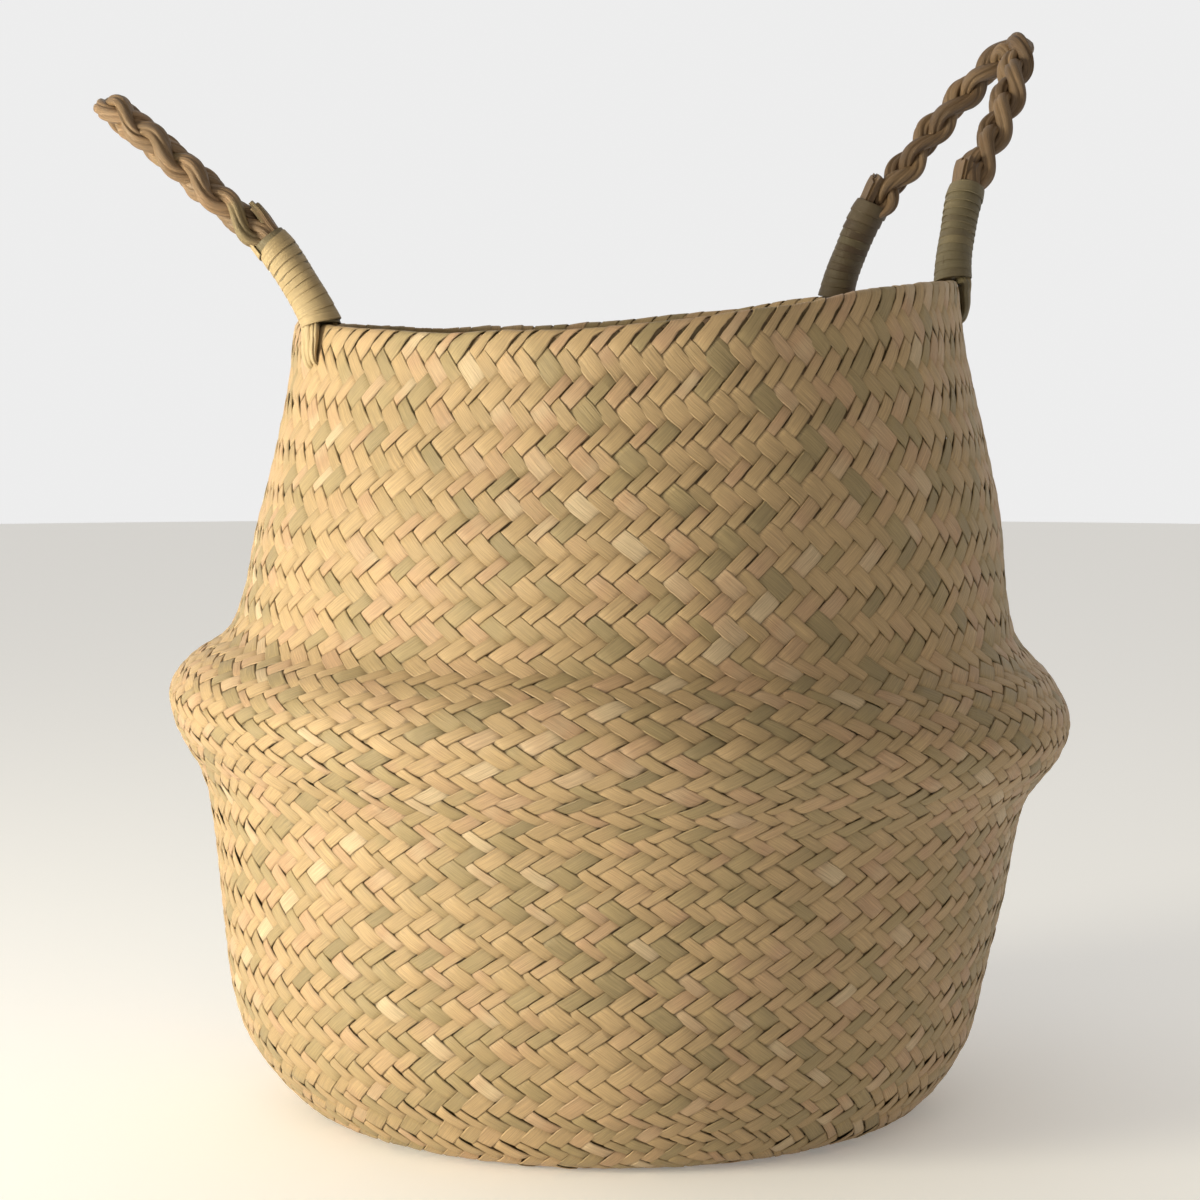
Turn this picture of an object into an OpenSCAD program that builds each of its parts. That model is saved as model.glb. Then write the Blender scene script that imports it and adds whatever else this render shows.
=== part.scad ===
// Belly basket of plaited seagrass with two braided rope handles.
// The body is one double-layer plait, divided here into the zones that a weaver names:
// base, lower wall, belly fold, neck and the folded rim with its lining inside.
// Origin: centre of the base on the floor. +Z up, handles at +X and -X, front at -Y.

/* [Body outline] */
// Height of the rim above the floor, beside the handles
basket_h = 324; // [300:1:340]
// Radius of the flat part of the base that touches the floor
foot_r = 121; // [110:1:126]
// Radius where the lower wall starts, just above the base
heel_r = 128; // [127:1:132]
// Radius of the lower wall low down, where the heel ends
flank_r = 149; // [145:1:152]
// Radius half way up the lower wall
lower_wall_r = 158; // [155:1:161]
// Radius of the crease under the belly fold
crease_r = 166; // [162:1:170]
// Radius of the crest of the belly fold
crest_r = 182; // [176:0.5:186]
// Height of the crest of the belly fold
crest_h = 163; // [158:1:168]
// Radius at the foot of the neck
neck_foot_r = 158; // [154:1:162]
// Radius half way up the neck
neck_r = 149; // [145:1:152]
// Radius where the folded rim starts
shoulder_r = 132; // [129:0.5:136]
// Radius of the mouth at the rim
mouth_r = 128; // [124:0.5:130]

/* [Plait] */
// Thickness of the plaited wall
wall_t = 3; // [2.4:0.1:4]
// Thickness of the base mat
mat_t = 3; // [2.4:0.1:4]
// Thickness of the strip ends that are turned down inside the rim
lining_t = 1.8; // [1.2:0.1:2.4]

/* [Hand-made shape] */
// How far the mouth stands off the base's centre, towards +X
lean_x = 8; // [0:0.5:12]
// How far the lower wall bulges towards -X
flank_shift = 3; // [0:0.5:5]
// Slope of the rim, up towards +X
rim_slope = 0.054; // [0:0.002:0.08]
// Slope of the belly fold, up towards -X
belly_slope = 0.034; // [0:0.002:0.05]
// How far the rim sags at the front and back
rim_sag = 11.5; // [0:0.5:16]
// Direction in which the front of the rim sags most, about the basket's axis
sag_azimuth = -119; // [-130:1:-70]
// How far the left handle pulls the rim outward
left_pull = 7; // [0:0.5:10]
// How far the right handle pulls the rim outward
right_pull = 4; // [0:0.5:8]

/* [Handles] */
// Angle between the left handle's middle and its legs, about the basket's axis
left_leg_angle = 19; // [17:1:24]
// Angle between the right handle's middle and its legs, about the basket's axis
right_leg_angle = 23; // [17:1:24]
// Direction of the left handle about the basket's axis
left_azimuth = 172; // [165:1:195]
// Direction of the right handle about the basket's axis
right_azimuth = 9; // [-15:1:15]
// Height of the left handle's arch above its pivot, measured along the rope
left_arch_h = 117; // [105:1:125]
// Height of the right handle's arch above its pivot, measured along the rope
right_arch_h = 119; // [105:1:125]
// Outward lean of the left handle at its foot
left_lean = 24; // [0:1:40]
// Outward lean of the right handle at its foot
right_lean = 10; // [0:1:40]
// How much further each handle bends outward above its foot
handle_curl = 25; // [10:1:35]
// Length of rope over which that bend is spread
bend_h = 58; // [40:1:80]
// Height of a handle's pivot above the rim
pivot_lift = 1; // [1:0.5:4]

/* [Rope] */
// Length of rope in which a strand crosses over and comes back
braid_pitch = 60; // [50:1:70]
// Radius of one strand of the braid
strand_r = 2.2; // [1.6:0.1:2.2]
// Length of the binding round each leg
wrap_l = 34; // [26:1:36]
// Length of the cut ends that stand out above each binding
tail_l = 10; // [5:1:14]

/* [Hidden] */

// Colours of dry seagrass: the plait, the darker rope and the pale binding strip
plait_colour = "#c9a866";
fold_colour = "#bd9a58";
rope_colour = "#9c7a48";
wrap_colour = "#b39b63";

// The mouth's crown stands this much over the last ring of the outline
crown_h = 1.5;
// The outline, foot to rim, as radius and height; the curve runs smoothly through it
outline = [[heel_r, mat_t], [138.5, 16], [flank_r, 34], [lower_wall_r, 76],
    [crease_r, 127], [crest_r - 3, 149], [crest_r, crest_h], [crest_r - 7.5, 176.5],
    [neck_foot_r, 193], [neck_r, 242], [shoulder_r, basket_h - 24],
    [mouth_r, basket_h - crown_h]];
// Places of the zone borders in that outline
crease_i = 4;
neck_foot_i = 8;
shoulder_i = 10;
rim_i = 11;

// Facets round the body and along one stretch of the outline
turn_steps = 48;
stretch_steps = 3;

// Left and right handles: azimuth, lean, arch height, the side's sign and the legs' angle
left = [left_azimuth, left_lean, left_arch_h, -1, left_leg_angle];
right = [right_azimuth, right_lean, right_arch_h, 1, right_leg_angle];
// Exponent of the arch: 2 would be a parabola, and less is more pointed
arch_power = 1.82;
// Half the braid's spread across the rope, and half its depth
braid_a = 4.3;
braid_b = 3.3;
// The braid runs this far outside the middle of the binding, beside the turned-back ends
braid_off = 2.2;
strand_steps = 52;
strand_sides = 8;
// Height above the pivot at which the bindings and strands start
foot_h = 7;
// Slack between the wall and the lining inside it
lining_gap = 0.15;
// The binding's half widths across and through the rope: outside, inside and at its foot
wrap_out = [8.4, 9.5];
wrap_in = [7.4, 8.6];
wrap_foot = [7.9, 9.1];
wrap_sides = 24;
// The turned-back ends: half widths, place across the rope, and how much of them is bound in
tail_half = [3, 1.4];
tail_off = -5.4;
tail_bound = 14;
// The loops through the wall: their thickness, standing off the plait, and depth below the rim
loop_r = 1.8;
loop_gap = 0.25;
loop_depth_v = 0.66;
loop_rise = 0.17;

function smooth(x) = let (t = max(0, min(1, x))) t * t * (3 - 2 * t);
function unit(v) = v / norm(v);
function lerp(a, b, t) = a + (b - a) * t;

// Outline curve at v, where whole numbers are the outline's points
function tangent_at(i) =
    i == 0 ? outline[1] - outline[0] :
    i == rim_i ? outline[rim_i] - outline[rim_i - 1] :
    (outline[i + 1] - outline[i - 1]) / 2;
function stretch_len(i) = norm(outline[i + 1] - outline[i]);
function knot_dir(i) = unit(tangent_at(i));
function outline_at(v) =
    let (i = min(floor(v), rim_i - 1), t = v - i, len = stretch_len(i))
    outline[i] * (1 - 3 * t * t + 2 * t * t * t)
    + outline[i + 1] * (3 * t * t - 2 * t * t * t)
    + knot_dir(i) * len * (t - 2 * t * t + t * t * t)
    + knot_dir(i + 1) * len * (t * t * t - t * t);
function outline_dir(v) =
    unit(outline_at(min(v + 0.02, rim_i)) - outline_at(max(v - 0.02, 0)));
// A point off the outline by d, positive outward
function off_outline(v, d) =
    let (dir = outline_dir(v)) outline_at(v) + d * [dir.y, -dir.x];

// Where a point of the outline at radius p.x and height p.y really stands, at azimuth phi
function turn_between(a, b) = abs((a - b + 900) % 360 - 180);
function pull_at(phi, azimuth) = exp(-pow(turn_between(phi, azimuth) / 38, 4));
function sag_at(phi) = exp(-pow(turn_between(phi, sag_azimuth) / 55, 2))
    + 0.8 * exp(-pow(turn_between(phi, 90) / 50, 2));
function middle_at(z) =
    lean_x * pow(z / basket_h, 1.5)
    - flank_shift * exp(-pow((z - 48) / 38, 2)) * smooth((z - mat_t) / 20);
function slope_at(z) =
    rim_slope * smooth((z - 150) / (basket_h - 150))
    - belly_slope * exp(-pow((z - crest_h) / 45, 2)) * smooth((z - mat_t) / 30);
function place(phi, p) =
    let (
        z = p.y,
        top = smooth((z - 200) / (basket_h - 200)),
        mouth = smooth((z - 235) / (basket_h - 235)),
        pull = mouth * (left_pull * pull_at(phi, left_azimuth)
            + right_pull * pull_at(phi, right_azimuth)),
        x = (p.x + pull) * cos(phi) + middle_at(z),
        y = (p.x + pull) * sin(phi))
    [x, y, z + x * slope_at(z) - rim_sag * top * sag_at(phi)];

// A solid from a grid of points that closes on itself both ways
module closed_grid(grid) {
    n = len(grid);
    m = len(grid[0]);
    points = [for (row = grid) for (p = row) p];
    faces = [for (i = [0 : n - 1]) for (k = [0 : m - 1])
        let (a = i * m + k, b = ((i + 1) % n) * m + k,
            c = ((i + 1) % n) * m + (k + 1) % m, d = i * m + (k + 1) % m)
        each [[a, c, b], [a, d, c]]];
    polyhedron(points = points, faces = faces, convexity = 8);
}

// A solid rod from a list of rings, with both ends closed
module rod(rings) {
    n = len(rings);
    m = len(rings[0]);
    points = [for (ring = rings) for (p = ring) p];
    sides = [for (i = [0 : n - 2]) for (k = [0 : m - 1])
        let (a = i * m + k, b = (i + 1) * m + k,
            c = (i + 1) * m + (k + 1) % m, d = i * m + (k + 1) % m)
        each [[a, b, c], [a, c, d]]];
    first = [for (k = [1 : m - 2]) [0, k, k + 1]];
    last_ring = (n - 1) * m;
    last = [for (k = [1 : m - 2]) [last_ring, last_ring + k + 1, last_ring + k]];
    polyhedron(points = points, faces = concat(sides, first, last), convexity = 8);
}

// Rings of a round rod of radius r along a path, kept square to it
function round_rings(path, r, ref) = [for (i = [0 : len(path) - 1])
    let (
        before = path[max(i - 1, 0)],
        after = path[min(i + 1, len(path) - 1)],
        along = unit(after - before),
        u = unit(cross(ref, along)),
        w = cross(along, u))
    [for (k = [0 : strand_sides - 1])
        let (turn = 360 * k / strand_sides)
        path[i] + r * cos(turn) * u + r * sin(turn) * w]];

// The walls are a closed outline carried round the axis
module ring_of(section) {
    closed_grid([for (i = [0 : turn_steps - 1])
        [for (p = section) place(360 * i / turn_steps, p)]]);
}

// The outline between two of its points, off by d
function stretch(v0, v1, d) =
    let (n = round((v1 - v0) * stretch_steps))
    [for (i = [0 : n]) off_outline(v0 + (v1 - v0) * i / n, d)];
function backward(list) = [for (i = [len(list) - 1 : -1 : 0]) list[i]];
function tail_of(list) = [for (i = [1 : len(list) - 1]) list[i]];

module base_mat() {
    color(plait_colour)
        rotate_extrude($fn = 96)
            polygon([[0, 0], [foot_r, 0], [foot_r + 4, 1], [heel_r, mat_t], [0, mat_t]]);
}

module lower_wall() {
    outside = stretch(0, crease_i, 0);
    inside = tail_of(stretch(0, crease_i, -wall_t));
    // The wall stands on the mat with a level foot
    foot_inside = [heel_r - 5, mat_t];
    color(plait_colour) ring_of(concat(outside, backward(inside), [foot_inside]));
}

module belly_fold() {
    color(fold_colour) ring_of(concat(stretch(crease_i, neck_foot_i, 0),
        backward(stretch(crease_i, neck_foot_i, -wall_t))));
}

module neck_wall() {
    color(plait_colour) ring_of(concat(stretch(neck_foot_i, shoulder_i, 0),
        backward(stretch(neck_foot_i, shoulder_i, -wall_t))));
}

module rim_hem() {
    crown = [for (turn = [45, 90, 135])
        off_outline(rim_i, -wall_t / 2 + wall_t / 2 * cos(turn)) + [0, crown_h * sin(turn)]];
    color(fold_colour) ring_of(concat(stretch(shoulder_i, rim_i, 0), crown,
        backward(stretch(shoulder_i, rim_i, -wall_t))));
}

module rim_lining() {
    outside = -wall_t - lining_gap;
    inside = outside - lining_t;
    color(fold_colour) ring_of(concat(stretch(shoulder_i, rim_i, outside),
        backward(stretch(shoulder_i, rim_i, inside))));
}

// Legs: -1 is the front leg of a handle and 1 its rear leg
function leg_azimuth(side, leg) = side[0] + leg * side[3] * side[4];
function pivot(side, leg) =
    place(leg_azimuth(side, leg), off_outline(rim_i, -wall_t / 2 - lining_t / 2))
    + [0, 0, crown_h + pivot_lift];
function chord_mid(side) = (pivot(side, 1) + pivot(side, -1)) / 2;
function chord_half(side) = norm(pivot(side, 1) - pivot(side, -1)) / 2;
function chord_dir(side) = unit(pivot(side, 1) - pivot(side, -1));
function out_dir(side) = side[3] * unit(cross(chord_dir(side), [0, 0, 1]));
function up_dir(side) = side[3] * cross(out_dir(side), chord_dir(side));

// A point of a handle: across it by w, up the rope by h, and outward of it by n
function curl_angle(h) = handle_curl * min(h / bend_h, 1);
function curl_out(lean, h) =
    let (r = bend_h / handle_curl * 180 / PI, end = lean + curl_angle(h))
    r * (cos(lean) - cos(end)) + max(h - bend_h, 0) * sin(end);
function curl_up(lean, h) =
    let (r = bend_h / handle_curl * 180 / PI, end = lean + curl_angle(h))
    r * (sin(end) - sin(lean)) + max(h - bend_h, 0) * cos(end);
function on_handle(side, w, h, n) =
    let (lean = side[1], angle = lean + curl_angle(h))
    chord_mid(side) + w * chord_dir(side)
    + (curl_out(lean, h) + n * cos(angle)) * out_dir(side)
    + (curl_up(lean, h) - n * sin(angle)) * up_dir(side);

// The arch, as w and h: q runs from -1 at the front foot to 1 at the rear foot
function arch_at(side, q) =
    let (
        foot_c = pow(1 - foot_h / side[2], 1 / arch_power),
        c = foot_c * pow(abs(q), 0.7))
    [sign(q) * c * chord_half(side), side[2] * (1 - pow(c, arch_power))];
function arch_path(side) =
    [for (i = [0 : strand_steps]) arch_at(side, 2 * i / strand_steps - 1)];
function lengths(path) = [for (i = 0, s = 0; i < len(path);
    i = i + 1, s = i < len(path) ? s + norm(path[i] - path[i - 1]) : s) s];

module strand(side, turn_at_foot) {
    path = arch_path(side);
    s = lengths(path);
    middle = s[len(s) - 1] / 2;
    centre = [for (i = [0 : strand_steps])
        let (
            along = unit(path[min(i + 1, strand_steps)] - path[max(i - 1, 0)]),
            turn = 360 * (s[i] - middle) / braid_pitch + turn_at_foot,
            across = braid_a * sin(turn))
        on_handle(side, path[i].x + across * along.y, path[i].y - across * along.x,
            braid_off + braid_b * sin(2 * turn))];
    color(rope_colour) rod(round_rings(centre, strand_r, out_dir(side)));
}

// A leg's middle line at height h, and the direction across it
function leg_at(side, leg, h) =
    [leg * chord_half(side) * pow(1 - h / side[2], 1 / arch_power), h];
function leg_across(side, leg, h) =
    let (along = unit(leg_at(side, leg, h + 1) - leg_at(side, leg, h - 1)))
    [along.y, -along.x];
function leg_ring(side, leg, h, half, off, sides) =
    let (middle = leg_at(side, leg, h), across = leg_across(side, leg, h))
    [for (k = [0 : sides - 1])
        let (turn = 360 * k / sides, w = -side[3] * half.x * cos(turn))
        on_handle(side, middle.x + w * across.x, middle.y + w * across.y,
            off + half.y * sin(turn))];

module wrap(side, leg) {
    ring_h = [foot_h, foot_h + 5, foot_h + 12, foot_h + 19, foot_h + 26, foot_h + wrap_l];
    last = len(ring_h) - 1;
    outer = [for (i = [0 : last])
        leg_ring(side, leg, ring_h[i], i == 0 ? wrap_foot : wrap_out, 0, wrap_sides)];
    inner = [for (i = [0 : last])
        leg_ring(side, leg, ring_h[i], wrap_in, 0, wrap_sides)];
    color(wrap_colour) closed_grid(backward(concat(outer, backward(inner))));
}

module tail(side, leg) {
    top = foot_h + wrap_l + tail_l;
    start = foot_h + wrap_l - tail_bound;
    steps = 5;
    rings = [for (i = [0 : steps])
        leg_ring(side, leg, lerp(start, top, i / steps), tail_half, tail_off, strand_sides)];
    color(rope_colour) rod(rings);
}

// A loop of rope that straddles the rim and passes through the plait under it
module loop(side, leg) {
    phi = leg_azimuth(side, leg);
    low_v = rim_i - loop_depth_v;
    outside = loop_gap + loop_r;
    inside = -wall_t - lining_t - outside;
    across = -(wall_t + lining_t) / 2;
    section = [off_outline(low_v + loop_rise, outside), off_outline(low_v + 0.06, outside),
        off_outline(low_v, outside - 1), off_outline(low_v - 0.03, across),
        off_outline(low_v, inside + 1), off_outline(low_v + 0.06, inside),
        off_outline(low_v + loop_rise, inside)];
    path = [for (p = section) place(phi, p)];
    color(rope_colour) rod(round_rings(path, loop_r, [-sin(phi), cos(phi), 0]));
}

module left_front_loop() { loop(left, -1); }
module left_rear_loop() { loop(left, 1); }
module right_front_loop() { loop(right, -1); }
module right_rear_loop() { loop(right, 1); }
module left_strand_a() { strand(left, 0); }
module left_strand_b() { strand(left, 120); }
module left_strand_c() { strand(left, 240); }
module right_strand_a() { strand(right, 0); }
module right_strand_b() { strand(right, 120); }
module right_strand_c() { strand(right, 240); }
module left_front_wrap() { wrap(left, -1); }
module left_rear_wrap() { wrap(left, 1); }
module right_front_wrap() { wrap(right, -1); }
module right_rear_wrap() { wrap(right, 1); }
module left_front_tail() { tail(left, -1); }
module left_rear_tail() { tail(left, 1); }
module right_front_tail() { tail(right, -1); }
module right_rear_tail() { tail(right, 1); }

base_mat();
lower_wall();
belly_fold();
neck_wall();
rim_hem();
rim_lining();
left_front_loop();
left_rear_loop();
right_front_loop();
right_rear_loop();
left_strand_a();
left_strand_b();
left_strand_c();
left_front_wrap();
left_rear_wrap();
left_front_tail();
left_rear_tail();
right_strand_a();
right_strand_b();
right_strand_c();
right_front_wrap();
right_rear_wrap();
right_front_tail();
right_rear_tail();
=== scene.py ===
"""Looks of the plaited seagrass basket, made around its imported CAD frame.

The body is plaited strip by strip: a square mat in the base whose strips turn up into two families
that cross on the wall, as a weaver lays them. Shapes are worked out in millimetres, in the CAD's
frame, with the CAD's own outline and place functions, and written to the meshes in metres.
"""
import math
from collections import namedtuple

import bpy
import numpy as np
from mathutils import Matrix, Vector


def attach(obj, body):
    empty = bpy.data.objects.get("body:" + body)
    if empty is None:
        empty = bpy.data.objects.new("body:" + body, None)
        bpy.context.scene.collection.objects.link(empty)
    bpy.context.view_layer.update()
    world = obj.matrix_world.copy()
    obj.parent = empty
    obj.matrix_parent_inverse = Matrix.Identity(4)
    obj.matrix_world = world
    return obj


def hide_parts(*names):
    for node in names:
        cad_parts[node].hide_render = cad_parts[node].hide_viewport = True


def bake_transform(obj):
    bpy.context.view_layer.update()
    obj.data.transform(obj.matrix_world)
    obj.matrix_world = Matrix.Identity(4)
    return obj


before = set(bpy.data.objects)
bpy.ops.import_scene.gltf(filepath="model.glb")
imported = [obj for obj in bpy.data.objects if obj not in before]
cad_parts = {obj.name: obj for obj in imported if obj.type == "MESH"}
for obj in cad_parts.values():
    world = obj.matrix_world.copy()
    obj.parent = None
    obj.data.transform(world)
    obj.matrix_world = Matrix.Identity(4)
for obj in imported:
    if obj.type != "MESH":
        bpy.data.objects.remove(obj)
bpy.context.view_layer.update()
rng = np.random.default_rng(11)
MM = 0.001

# ---------------------------------------------------------------- camera, light and floor

# The camera, in metres: how far from the basket's axis it stands, how high, and what it aims at
VIEW_DISTANCE = 1.138
VIEW_HEIGHT = 0.294
VIEW_AZIMUTH = math.radians(-14)
AIM_HEIGHT = 0.202
AIM_SIDE = -0.0054
LENS = 84.3
# The height that the lights face
BASKET_MIDDLE = 0.18


def look_at(obj, target):
    obj.rotation_euler = (Vector(target) - obj.location).to_track_quat("-Z", "Y").to_euler()


def add_camera():
    data = bpy.data.cameras.new("camera")
    data.lens = LENS
    data.sensor_width = 36
    camera = bpy.data.objects.new("camera", data)
    camera.location = (VIEW_DISTANCE * math.sin(VIEW_AZIMUTH),
                       -VIEW_DISTANCE * math.cos(VIEW_AZIMUTH), VIEW_HEIGHT)
    side = Vector((math.cos(VIEW_AZIMUTH), math.sin(VIEW_AZIMUTH), 0))
    look_at(camera, side * AIM_SIDE + Vector((0, 0, AIM_HEIGHT)))
    bpy.context.collection.objects.link(camera)
    bpy.context.scene.camera = camera


def add_light(name, azimuth, elevation, distance, size, power, colour):
    """An area light that faces the basket; azimuth is counted from the camera's, to its right."""
    data = bpy.data.lights.new(name, "AREA")
    data.shape = "DISK"
    data.size = size
    data.energy = power
    data.color = colour
    light = bpy.data.objects.new(name, data)
    turn = VIEW_AZIMUTH + math.radians(azimuth)
    flat = distance * math.cos(math.radians(elevation))
    light.location = (flat * math.sin(turn), -flat * math.cos(turn),
                      BASKET_MIDDLE + distance * math.sin(math.radians(elevation)))
    look_at(light, (0, 0, BASKET_MIDDLE))
    bpy.context.collection.objects.link(light)


FLOOR_R = 4.5
FLOOR_SIDES = 180
FLOOR_GLOW = 0.17
ROOM_GLOW = (0.31, 0.28, 0.22)
WALL_GLOW = (0.85, 0.85, 0.85)
# The room's glow turns into the wall's between these two shares of the way to the wall
WALL_FROM = -0.3
WALL_TO = 0.75


def add_floor():
    bpy.ops.mesh.primitive_circle_add(vertices=FLOOR_SIDES, radius=FLOOR_R, fill_type="NGON")
    floor = bpy.context.object
    floor.name = "floor"
    material = bpy.data.materials.new("floor_pale")
    material.use_nodes = True
    shader = material.node_tree.nodes["Principled BSDF"]
    shader.inputs["Base Color"].default_value = (0.94, 0.94, 0.94, 1)
    shader.inputs["Roughness"].default_value = 0.9
    shader.inputs["Emission Color"].default_value = (1, 1, 1, 1)
    shader.inputs["Emission Strength"].default_value = FLOOR_GLOW
    floor.data.materials.append(material)


def add_room():
    """A white wall behind the basket; the room in front of it is dimmer and warmer."""
    world = bpy.data.worlds.new("studio")
    world.use_nodes = True
    tree = world.node_tree
    background = tree.nodes["Background"]
    direction = tree.nodes.new("ShaderNodeTexCoord")
    part = tree.nodes.new("ShaderNodeSeparateXYZ")
    tree.links.new(direction.outputs["Generated"], part.inputs[0])
    depth = tree.nodes.new("ShaderNodeMapRange")
    depth.inputs["From Min"].default_value = WALL_FROM
    depth.inputs["From Max"].default_value = WALL_TO
    tree.links.new(part.outputs[1], depth.inputs["Value"])
    glow = tree.nodes.new("ShaderNodeValToRGB")
    glow.color_ramp.elements[0].color = (*ROOM_GLOW, 1)
    glow.color_ramp.elements[1].color = (*WALL_GLOW, 1)
    tree.links.new(depth.outputs[0], glow.inputs["Fac"])
    tree.links.new(glow.outputs["Color"], background.inputs["Color"])
    bpy.context.scene.world = world
    bpy.context.scene.view_settings.view_transform = "Standard"


add_camera()
add_floor()
add_room()
add_light("key", -64, 2, 1.5, 0.6, 33, (1.0, 0.93, 0.72))
add_light("fill", -16, 40, 2.0, 1.4, 5, (1.0, 0.95, 0.88))

# ---------------------------------------------------------------- the basket's shape

BASKET_H = 324
CREST_H = 163
MAT_T = 3
LEAN_X = 8
FLANK_SHIFT = 3
RIM_SLOPE = 0.054
BELLY_SLOPE = 0.034
RIM_SAG = 11.5
SAG_AZIMUTH = -119
LEFT_PULL = 7
RIGHT_PULL = 4
LEFT_AZIMUTH = 172
RIGHT_AZIMUTH = 9
CROWN_H = 1.5
# Radius and height of the outside, foot to rim; the curve runs smoothly through these points
OUTLINE = np.array([[128, MAT_T], [138.5, 16], [149, 34], [158, 76], [166, 127], [179, 149],
                    [182, CREST_H], [174.5, 176.5], [158, 193], [149, 242],
                    [132, BASKET_H - 24], [128, BASKET_H - CROWN_H]])
HEEL_V = 2.6
CREASE_V = 4
NECK_FOOT_V = 8
SHOULDER_V = 10
RIM_V = 11


def smooth(x):
    t = np.clip(x, 0, 1)
    return t * t * (3 - 2 * t)


def unit(v):
    return v / np.linalg.norm(v, axis=-1, keepdims=True)


def run_lengths(points):
    """How far along a line of points each of them lies."""
    return np.concatenate([[0], np.cumsum(np.linalg.norm(np.diff(points, axis=0), axis=1))])


def outline_at(v):
    """The outline's radius and height at v, where whole numbers are its points."""
    v = np.asarray(v, float)
    ends = np.vstack([OUTLINE[1] - OUTLINE[0], (OUTLINE[2:] - OUTLINE[:-2]) / 2,
                      OUTLINE[-1] - OUTLINE[-2]])
    directions = unit(ends)
    i = np.minimum(v.astype(int), RIM_V - 1)
    t = (v - i)[..., None]
    length = np.linalg.norm(OUTLINE[i + 1] - OUTLINE[i], axis=-1)[..., None]
    return (OUTLINE[i] * (1 - 3 * t**2 + 2 * t**3) + OUTLINE[i + 1] * (3 * t**2 - 2 * t**3)
            + directions[i] * length * (t - 2 * t**2 + t**3)
            + directions[i + 1] * length * (t**3 - t**2))


def off_outline(v, d):
    """The outline, off by d; positive is outward."""
    v = np.asarray(v, float)
    along = unit(outline_at(np.minimum(v + 0.02, RIM_V)) - outline_at(np.maximum(v - 0.02, 0)))
    normal = np.stack([along[..., 1], -along[..., 0]], -1)
    return outline_at(v) + d * normal


def turn_between(a, b):
    return np.abs((a - b + 900) % 360 - 180)


def place(phi, r, z):
    """Where a point of the outline really stands, at azimuth phi in degrees."""
    mouth = smooth((z - 235) / (BASKET_H - 235))
    pull = mouth * (LEFT_PULL * np.exp(-(turn_between(phi, LEFT_AZIMUTH) / 38)**4)
                    + RIGHT_PULL * np.exp(-(turn_between(phi, RIGHT_AZIMUTH) / 38)**4))
    middle = (LEAN_X * (np.maximum(z, 0) / BASKET_H)**1.5
              - FLANK_SHIFT * np.exp(-((z - 48) / 38)**2) * smooth((z - MAT_T) / 20))
    x = (r + pull) * np.cos(np.radians(phi)) + middle
    y = (r + pull) * np.sin(np.radians(phi))
    slope = (RIM_SLOPE * smooth((z - 150) / (BASKET_H - 150))
             - BELLY_SLOPE * np.exp(-((z - CREST_H) / 45)**2) * smooth((z - MAT_T) / 30))
    sag = RIM_SAG * smooth((z - 200) / (BASKET_H - 200)) * (
        np.exp(-(turn_between(phi, SAG_AZIMUTH) / 55)**2)
        + 0.8 * np.exp(-(turn_between(phi, 90) / 50)**2))
    return np.stack([x, y, z + x * slope - sag], -1)


# ---------------------------------------------------------------- the plait's middle surface

# The plait's middle, inside the outline, and that of the strips turned down inside the rim
PLAIT_OFF = -1.5
LINING_OFF = -4.1
BASE_FLAT_R = 116
# The heel's curve: how far it reaches past the flat base, and where it meets the outline
HEEL_REACH = 9
HEEL_TOP_V = 0.4


def plait_profile():
    """The plait's middle as radius and height: base, heel, wall, fold over the rim, lining."""
    mid_h = MAT_T / 2
    flat = np.array([[r, mid_h] for r in np.linspace(0, BASE_FLAT_R, 60)])
    start = off_outline(HEEL_TOP_V, PLAIT_OFF)
    corner = np.array([BASE_FLAT_R + HEEL_REACH, mid_h])
    t = np.linspace(0, 1, 14)[1:-1, None]
    heel = (1 - t)**2 * flat[-1] + 2 * t * (1 - t) * corner + t**2 * start
    wall = off_outline(np.linspace(HEEL_TOP_V, RIM_V, 420), PLAIT_OFF)
    top = outline_at(RIM_V)
    along = unit(top - outline_at(RIM_V - 0.02))
    across = np.array([along[1], -along[0]])
    radius = (PLAIT_OFF - LINING_OFF) / 2
    turns = np.linspace(0, math.pi, 14)[1:-1, None]
    fold = (top + across * ((PLAIT_OFF + LINING_OFF) / 2 + radius * np.cos(turns))
            + along * radius * np.sin(turns))
    lining = off_outline(np.linspace(RIM_V, SHOULDER_V - 0.05, 40), LINING_OFF)
    return np.vstack([flat, heel, wall, fold, lining])


PROFILE = plait_profile()
PROFILE_L = run_lengths(PROFILE)
PROFILE_SLOPE = np.gradient(PROFILE, PROFILE_L, axis=0)
PROFILE_NORMAL = unit(np.stack([PROFILE_SLOPE[:, 1], -PROFILE_SLOPE[:, 0]], -1))


def length_at(v):
    """How far along the profile the outline's point v lies."""
    target = off_outline(v, PLAIT_OFF)
    outside = PROFILE_L < RIM_L
    near = np.linalg.norm(PROFILE[outside] - target, axis=1)
    return float(PROFILE_L[outside][np.argmin(near)])


RIM_L = float(PROFILE_L[np.argmax(PROFILE[:, 1])])


def ripple(length, phi):
    """Hand-made unevenness of the surface: slow dents and swellings, none under the foot."""
    a = np.radians(phi)
    waves = (0.7 * np.sin(3 * a + length / 47 + 0.4) + 0.5 * np.sin(5 * a - length / 31 + 2.1)
             + 0.35 * np.sin(11 * a + length / 17 + 4.0) + 0.25 * np.sin(17 * a - length / 13))
    return waves * smooth((length - 122) / 25) * 0.8


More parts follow.
